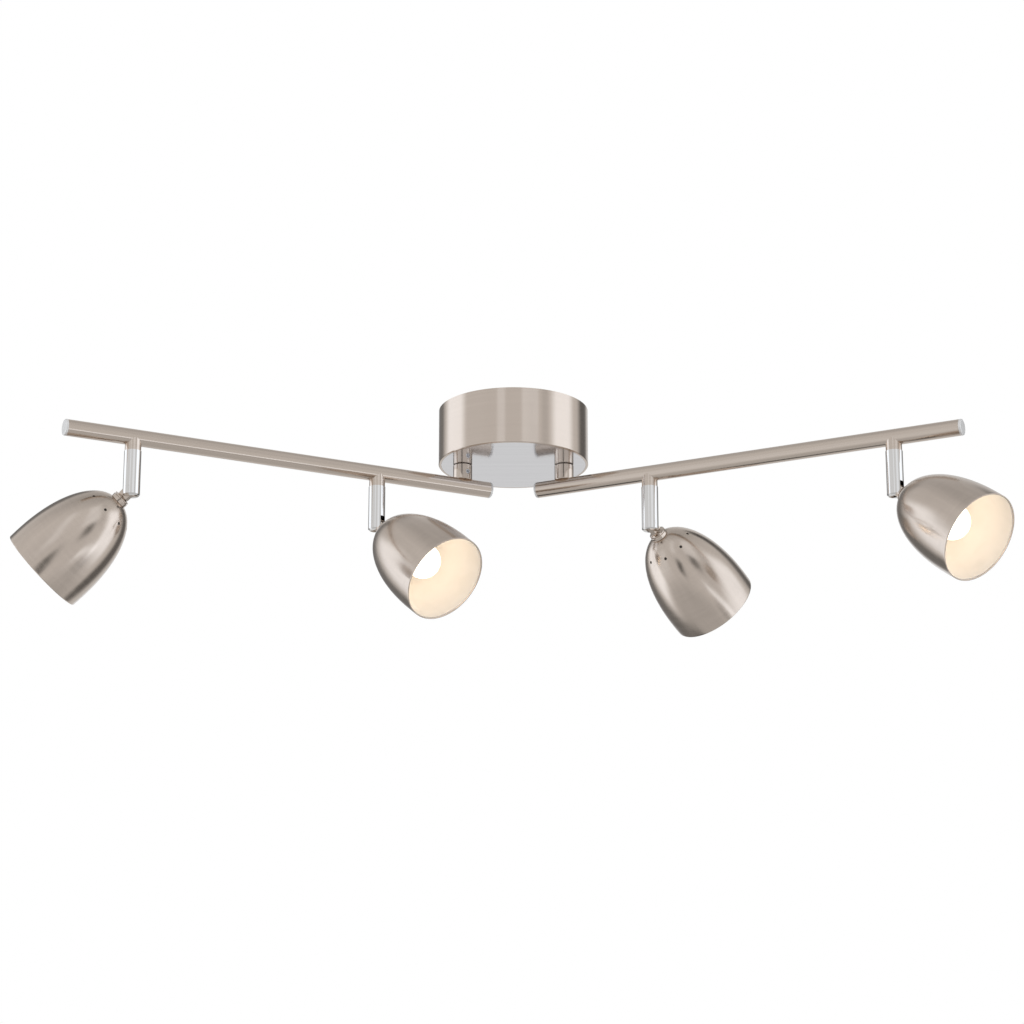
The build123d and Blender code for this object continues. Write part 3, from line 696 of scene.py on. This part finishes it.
@dataclass(frozen=True)
class GlowingGlass(Finish):
    """Frosted globe with the lamp lit inside it."""

    colour: Colour
    glow: Colour
    strength: float
    cloud: float = 0.92
    frost_scale: float = 260.0
    frost_shade: float = 0.96
    smoothest: float = 0.35
    coarsest: float = 0.55

    def build(self, effects: Effects) -> Material:
        """Makes white glass that glows, a touch less where the frosting is thick.

        Args:
            effects: the shared effects.

        Returns:
            The material.
        """
        material, graph, shader = self.start()
        place = graph.add("ShaderNodeTexCoord").outputs["Object"]
        frost = graph.noise(place, self.frost_scale, 3.0)
        cloud = effects.use(graph, effects.handling, Vector=place, Scale=90.0, Cover=0.5).outputs[0]
        dim = tuple(part * self.cloud for part in self.glow)
        shaded = tuple(part * self.frost_shade for part in self.colour)
        bump = graph.add("ShaderNodeBump", {"Strength": 0.4, "Distance": 0.02 * MM, "Height": frost})
        links = {
            "Base Color": graph.blend(frost, self.colour, shaded),
            "Emission Color": graph.blend(cloud, self.glow, dim),
            "Roughness": graph.spread(frost, self.smoothest, self.coarsest),
            "Normal": bump.outputs[0],
        }
        for label, socket in links.items():
            graph.tree.links.new(socket, shader.inputs[label])
        shader.inputs["Emission Strength"].default_value = self.strength
        return material


NICKEL: Colour = (0.655, 0.568, 0.496)

FINISHES: dict[Slot, Finish] = {
    Slot.BRUSHED_NICKEL: BrushedMetal(
        "nickel_small_parts", Slot.BRUSHED_NICKEL, NICKEL, roughness=0.14, relief=0.001 * MM,
    ),
    Slot.POLISHED_NICKEL: BrushedMetal(
        "nickel_polished", Slot.POLISHED_NICKEL, (0.79, 0.785, 0.80), roughness=0.12,
        stretch=(9.0, 620.0, 620.0), tone=0.05, relief=0.003 * MM,
    ),
    Slot.CHROME: BrushedMetal(
        "chrome_bright", Slot.CHROME, (0.795, 0.78, 0.765), roughness=0.07,
        stretch=(1300.0, 1300.0, 30.0), tone=0.03, relief=0.002 * MM,
    ),
    Slot.ZINC_STEEL: BrushedMetal(
        "zinc_plated_steel", Slot.ZINC_STEEL, (0.60, 0.61, 0.63), roughness=0.36,
        stretch=(500.0, 500.0, 500.0), tone=0.10, relief=0.01 * MM,
    ),
    Slot.GREEN_SCREW: BrushedMetal(
        "green_passivated_screw", Slot.GREEN_SCREW, (0.06, 0.30, 0.10), roughness=0.38,
        stretch=(700.0, 700.0, 700.0), tone=0.12, metallic=0.7,
    ),
    Slot.IVORY_PLASTIC: Coating("ivory_plastic", Slot.IVORY_PLASTIC, (0.80, 0.76, 0.66), (0.74, 0.70, 0.60)),
    Slot.LEAD_SLEEVE: Coating(
        "lead_sleeve", Slot.LEAD_SLEEVE, (0.12, 0.12, 0.125), (0.10, 0.10, 0.105), roughness=0.5,
    ),
    Slot.WHITE_CERAMIC: Coating(
        "glazed_ceramic", Slot.WHITE_CERAMIC, (0.86, 0.85, 0.82), (0.80, 0.79, 0.75),
        roughness=0.3, coat=0.4,
    ),
    Slot.WHITE_ENAMEL: Coating(
        "white_enamel", Slot.WHITE_ENAMEL, (0.86, 0.82, 0.77), (0.83, 0.79, 0.735), roughness=0.42,
    ),
    Slot.FROSTED_GLASS: GlowingGlass(
        "frosted_glass_lit", Slot.FROSTED_GLASS, (0.92, 0.91, 0.88), (1.0, 0.85, 0.67), strength=3.1,
    ),
}

SPUN_NICKEL = SpunMetal("nickel_spun", Slot.BRUSHED_NICKEL, NICKEL)
# Painted shade: the lining's near-black back stands in for the shade seen through the bell's vents.
LINING_PAINTED_SHADE = Coating(
    "lining_back", Slot.WHITE_ENAMEL, (0.07, 0.06, 0.055), (0.05, 0.045, 0.04), roughness=0.7,
)
# Painted highlight: a near-white, half-metal copy of polished nickel, so the end caps look as bright as lit
# polished nickel.
CAP_PAINTED_HIGHLIGHT = BrushedMetal(
    "nickel_cap", Slot.POLISHED_NICKEL, (0.94, 0.93, 0.92), roughness=0.42,
    stretch=(700.0, 700.0, 700.0), tone=0.05, relief=0.006 * MM, metallic=0.35,
)
DRUM_NICKEL = BrushedMetal(
    "nickel_drum", Slot.BRUSHED_NICKEL, NICKEL, roughness=0.16, stretch=(12.0, 12.0, 3000.0),
    tone=0.04, relief=0.003 * MM, drum=True, anisotropy=0.8,
)


class Wardrobe:
    """Makes each finish once and hands out its material."""

    def __init__(self, effects: Effects) -> None:
        """Keeps the shared effects."""
        self.effects = effects
        self.made: dict[str, Material] = {}

    def material(self, finish: Finish) -> Material:
        """Makes a finish's material on first use.

        Args:
            finish: the finish.

        Returns:
            Its material.
        """
        if finish.name not in self.made:
            self.made[finish.name] = finish.build(self.effects)
        return self.made[finish.name]

    def dress(self, piece: bpy.types.Object, finish: Finish) -> None:
        """Gives a part of the frame its finish.

        Args:
            piece: the part, whose every material slot is filled.
            finish: the finish.
        """
        material = self.material(finish)
        if not piece.material_slots:
            piece.data.materials.append(material)
        for place in piece.material_slots:
            place.material = material

    def dress_by_slot(self, names: list[str]) -> None:
        """Gives each part the finish of the slot that its plain material is named for.

        Args:
            names: the parts' names.
        """
        for name in names:
            piece = frame["nodes"][name]
            self.dress(piece, FINISHES[Slot(piece.material_slots[0].material.name.split(".")[0])])


# ---------------------------------------------------------------------------------------------------------
# The light
# ---------------------------------------------------------------------------------------------------------


def joint(name: str) -> dict:
    """A joint of the frame by its name."""
    return next(each for each in frame["joints"] if each["name"] == name)


@dataclass
class Canopy:
    """Drum, bottom plate, mounting plate and what is inside them."""

    body: str = "canopy"
    drum: str = "canopy_wall"

    def dress(self, wardrobe: Wardrobe) -> None:
        """Finishes every part of the canopy, the drum with its own brushing.

        Args:
            wardrobe: where the finishes come from.
        """
        names = frame["record"]["behaviour"]["bodies"][self.body]
        wardrobe.dress_by_slot(names)
        wardrobe.dress(frame["nodes"][self.drum], DRUM_NICKEL)
        log.info("canopy: %d parts dressed", len(names))


@dataclass
class Arm:
    """One tube on its post, with its caps and collars."""

    side: Side
    line_stretch: Triple = (22.0, 3600.0, 3600.0)
    heading: float = field(init=False)

    def __post_init__(self) -> None:
        """Finds the tube's heading from the post's joint and the outer head's joint."""
        post = np.array(joint(f"{self.side.value}_arm_swing")["pos_m"])
        head = np.array(joint(f"{self.side.value}_outer_pan")["pos_m"])
        along = head - post
        self.heading = float(np.arctan2(along[1], along[0]))

    def dress(self, wardrobe: Wardrobe) -> None:
        """Finishes every part of the arm, the tube with brush lines along its length, the end caps with a lighter
        copy of polished nickel that paints in their highlight.

        Args:
            wardrobe: where the finishes come from.
        """
        names = frame["record"]["behaviour"]["bodies"][f"{self.side.value}_arm"]
        wardrobe.dress_by_slot(names)
        drawn = BrushedMetal(
            f"nickel_drawn_{self.side.value}", Slot.BRUSHED_NICKEL, NICKEL, roughness=0.16,
            spin=-self.heading, stretch=self.line_stretch, tone=0.04, relief=0.002 * MM,
        )
        wardrobe.dress(frame["nodes"][f"{self.side.value}_arm_tube"], drawn)
        # The end caps get the lighter copy of polished nickel, a painted highlight.
        wardrobe.dress(frame["nodes"][f"{self.side.value}_end_caps"], CAP_PAINTED_HIGHLIGHT)
        log.info("%s arm: %d parts dressed", self.side.value, len(names))


@dataclass
class Head:
    """One stem and the spot head that tilts on it."""

    name: str
    wall: float = 1.0 * MM
    edge_round: float = 0.2 * MM
    lining_thickness: float = 0.12 * MM
    lining_gap: float = 0.03 * MM
    lining_start: float = 10.4 * MM
    lining_short: float = 0.7 * MM
    axes: Axes = field(init=False)

    def __post_init__(self) -> None:
        """Finds the head's axes: X along the tilt pin, Z from the pin towards the mouth."""
        tilt = joint(f"{self.name}_tilt")
        pin = -np.array(tilt["axis"])
        up = np.array([0.0, 0.0, 1.0])
        aim = np.cross(pin, up)
        angle = -np.radians(tilt["range_deg"][0])
        along = np.sin(angle) * aim - np.cos(angle) * up
        self.axes = Axes(np.array(tilt["pos_m"]), pin, np.cross(along, pin), along)

    def build(self, wardrobe: Wardrobe) -> None:
        """Makes the bell and its lining and sets them on the head.

        The bell faces out and is pierced. The lining is whole and white inside, with painted shade on its back,
        where the vents show it.

        Args:
            wardrobe: where the finishes come from.
        """
        body = f"{self.name}_head"
        bell = mesh_object(f"{self.name}_spun_bell", joined(Bell(self.axes).sheet()))
        bell.data.materials.append(wardrobe.material(SPUN_NICKEL))
        self.thicken(bell, self.wall, self.edge_round)
        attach(bell, body)
        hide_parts(f"{self.name}_shade")
        inset = self.wall + self.lining_gap
        inside = Bell(
            self.axes, inset=inset, start_radius=self.lining_start, stop_short=self.lining_short,
            pierced=False,
        )
        lining = mesh_object(f"{self.name}_lining", joined(inside.sheet()))
        enamel = FINISHES[Slot.WHITE_ENAMEL]
        # Outer face: painted shade seen through the vents. Inner face and rim: white enamel.
        for finish in (LINING_PAINTED_SHADE, enamel):
            lining.data.materials.append(wardrobe.material(finish))
        self.thicken(lining, self.lining_thickness, 0.0, inner_material=1)
        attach(lining, body)
        log.info("%s: bell and lining made", self.name)

    @staticmethod
    def thicken(piece: bpy.types.Object, wall: float, edge_round: float, inner_material: int = 0) -> None:
        """Gives a sheet its wall inward and rounds its edges.

        Args:
            piece: the sheet, facing outwards.
            wall: thickness of the wall.
            edge_round: radius at the mouth, the crown's hole and the vents, or 0 for none.
            inner_material: place of the wall's inner material after its outer one.
        """
        solid = piece.modifiers.new("wall", "SOLIDIFY")
        solid.thickness = wall
        solid.offset = -1.0
        solid.use_even_offset = True
        solid.material_offset = inner_material
        solid.material_offset_rim = inner_material
        if edge_round > 0:
            bevel = piece.modifiers.new("edge", "BEVEL")
            bevel.width = edge_round
            bevel.segments = 2
            bevel.limit_method = "ANGLE"
            bevel.angle_limit = float(np.radians(EDGE_ANGLE))

    def dress(self, wardrobe: Wardrobe) -> None:
        """Finishes the stem, pin, knuckle, ring, holder and lamp.

        Args:
            wardrobe: where the finishes come from.
        """
        bodies = frame["record"]["behaviour"]["bodies"]
        names = bodies[f"{self.name}_swivel"] + bodies[f"{self.name}_head"]
        wardrobe.dress_by_slot(names)
        log.info("%s: %d parts dressed", self.name, len(names))


# ---------------------------------------------------------------------------------------------------------
# The studio
# ---------------------------------------------------------------------------------------------------------


@dataclass(frozen=True)
class Card:
    """A soft light card or dark flag far round the light, in degrees.

    Azimuth 0 is in front of the light, 90 on its right and 180 behind it.
    """

    azimuth: float
    half_width: float
    elevation: float
    half_height: float
    power: float
    soft: float = 8.0


@dataclass
class Studio:
    """White room with a few soft cards, a pale floor far below the light, and the camera."""

    ground_light: float = 0.56
    middle_light: float = 0.71
    upper_light: float = 0.52
    upper_from: float = 36.0
    upper_to: float = 78.0
    ground_from: float = -38.0
    ground_to: float = -62.0
    least_light: float = 0.03
    cards: tuple[Card, ...] = (
        Card(-103, 20, -6, 36, 0.62, 8),
        Card(82, 19, -4, 34, 0.62, 8),
        Card(-64, 18, -14, 24, 0.16, 9),
        Card(-19, 6, 26, 20, 0.17, 1.5),
        Card(26, 13, 30, 20, 0.19, 2),
        Card(180, 9, 12, 18, 0.30, 7),
        Card(-152, 17, -8, 62, -0.50, 8),
        Card(136, 15, 8, 54, -0.56, 8),
        Card(-9, 6, -22, 12, -0.62, 4),
        Card(28, 7, 0, 9, -0.56, 4),
        Card(50, 5, 30, 22, -0.10, 2),
        Card(52, 17, -31, 4, 0.62, 2.5),
        Card(62, 15, -44, 5, -0.22, 3),
    )
    card_tint: Triple = (0.90, 1.0, 1.14)
    floor_drop: float = 4.5
    floor_half: float = 40.0
    camera_place: Triple = (-0.0012, -2.5, -0.8656)
    camera_rise: float = 17.25
    lens: float = 108.88
    sensor: float = 36.0
    sight: float = 100.0

    def build(self, effects: Effects) -> None:
        """Sets up the world, the floor and the camera.

        Args:
            effects: the shared effects.
        """
        self.make_world(effects)
        self.make_floor(effects)
        self.make_camera()
        log.info("studio: %d cards, floor and camera", len(self.cards))

    def make_world(self, effects: Effects) -> None:
        """Light by direction: bands of height less the flags, plus the cool light of the cards.

        The camera sees plain white behind the light; everything else sees the cards.

        Args:
            effects: the shared effects.
        """
        world = bpy.data.worlds.new("studio")
        world.use_nodes = True
        bpy.context.scene.world = world
        graph = Graph(world.node_tree)
        way = graph.add("ShaderNodeTexCoord").outputs["Generated"]
        parts = graph.add("ShaderNodeSeparateXYZ", {0: way})
        front = graph.math("MULTIPLY", parts.outputs[1], -1.0)
        azimuth = graph.math("DEGREES", graph.math("ARCTAN2", parts.outputs[0], front))
        elevation = graph.math("DEGREES", graph.math("ARCSINE", parts.outputs[2]))
        up = graph.ease(elevation, self.upper_from, self.upper_to)
        down = graph.ease(elevation, self.ground_from, self.ground_to)
        total = graph.math("MULTIPLY_ADD", up, self.upper_light - self.middle_light, self.middle_light)
        total = graph.math("MULTIPLY_ADD", down, self.ground_light - self.middle_light, total)
        lamps: float | Socket = 0.0
        for card in self.cards:
            window = effects.use(
                graph, effects.card, Azimuth=azimuth, Elevation=elevation, Centre=card.azimuth,
                Half_width=card.half_width, Height=card.elevation, Half_height=card.half_height,
                Soft=card.soft,
            )
            if card.power > 0:
                lamps = graph.math("MULTIPLY_ADD", window.outputs[0], card.power, lamps)
            else:
                total = graph.math("MULTIPLY_ADD", window.outputs[0], card.power, total)
        total = graph.math("MAXIMUM", total, self.least_light)
        mixed = {i: graph.math("MULTIPLY_ADD", lamps, tint, total) for i, tint in enumerate(self.card_tint)}
        colour = graph.add("ShaderNodeCombineXYZ", mixed).outputs[0]
        lit = graph.add("ShaderNodeBackground", {"Color": colour})
        white = graph.add("ShaderNodeBackground", {"Color": (1.0, 1.0, 1.0, 1.0)})
        seen = graph.add("ShaderNodeLightPath").outputs["Is Camera Ray"]
        mix = graph.add("ShaderNodeMixShader", {0: seen, 1: lit.outputs[0], 2: white.outputs[0]})
        graph.add("ShaderNodeOutputWorld", {"Surface": mix.outputs[0]})

    def make_floor(self, effects: Effects) -> None:
        """Makes a pale matt floor, a flat square, that metal doesn't mirror.

        Args:
            effects: the shared effects.
        """
        half, drop = self.floor_half, -self.floor_drop
        mesh = bpy.data.meshes.new("floor")
        corners = [(-half, -half, drop), (half, -half, drop), (half, half, drop), (-half, half, drop)]
        mesh.from_pydata(corners, [], [(0, 1, 2, 3)])
        floor = bpy.data.objects.new("floor", mesh)
        bpy.context.scene.collection.objects.link(floor)
        paint = Coating(
            "floor_paint", Slot.WHITE_ENAMEL, (0.86, 0.86, 0.86), (0.84, 0.84, 0.84),
            roughness=0.7, grain_scale=30.0,
        )
        mesh.materials.append(paint.build(effects))
        floor.visible_glossy = False

    def make_camera(self) -> None:
        """Camera below the light and in front of it, looking up."""
        data = bpy.data.cameras.new("camera")
        data.lens = self.lens
        data.sensor_width = self.sensor
        data.clip_end = self.sight
        camera = bpy.data.objects.new("camera", data)
        camera.location = self.camera_place
        camera.rotation_euler = (float(np.radians(90 + self.camera_rise)), 0.0, 0.0)
        bpy.context.scene.collection.objects.link(camera)
        bpy.context.scene.camera = camera
        bpy.context.scene.view_settings.view_transform = "Standard"


def main() -> None:
    """Builds the studio and the light."""
    logging.basicConfig(level=logging.INFO, format="%(name)s: %(message)s")
    effects = Effects()
    wardrobe = Wardrobe(effects)
    Studio().build(effects)
    Canopy().dress(wardrobe)
    for side in Side:
        Arm(side).dress(wardrobe)
    for name in ("left_outer", "left_inner", "right_inner", "right_outer"):
        head = Head(name)
        head.build(wardrobe)
        head.dress(wardrobe)


if __name__ == "__main__":
    main()
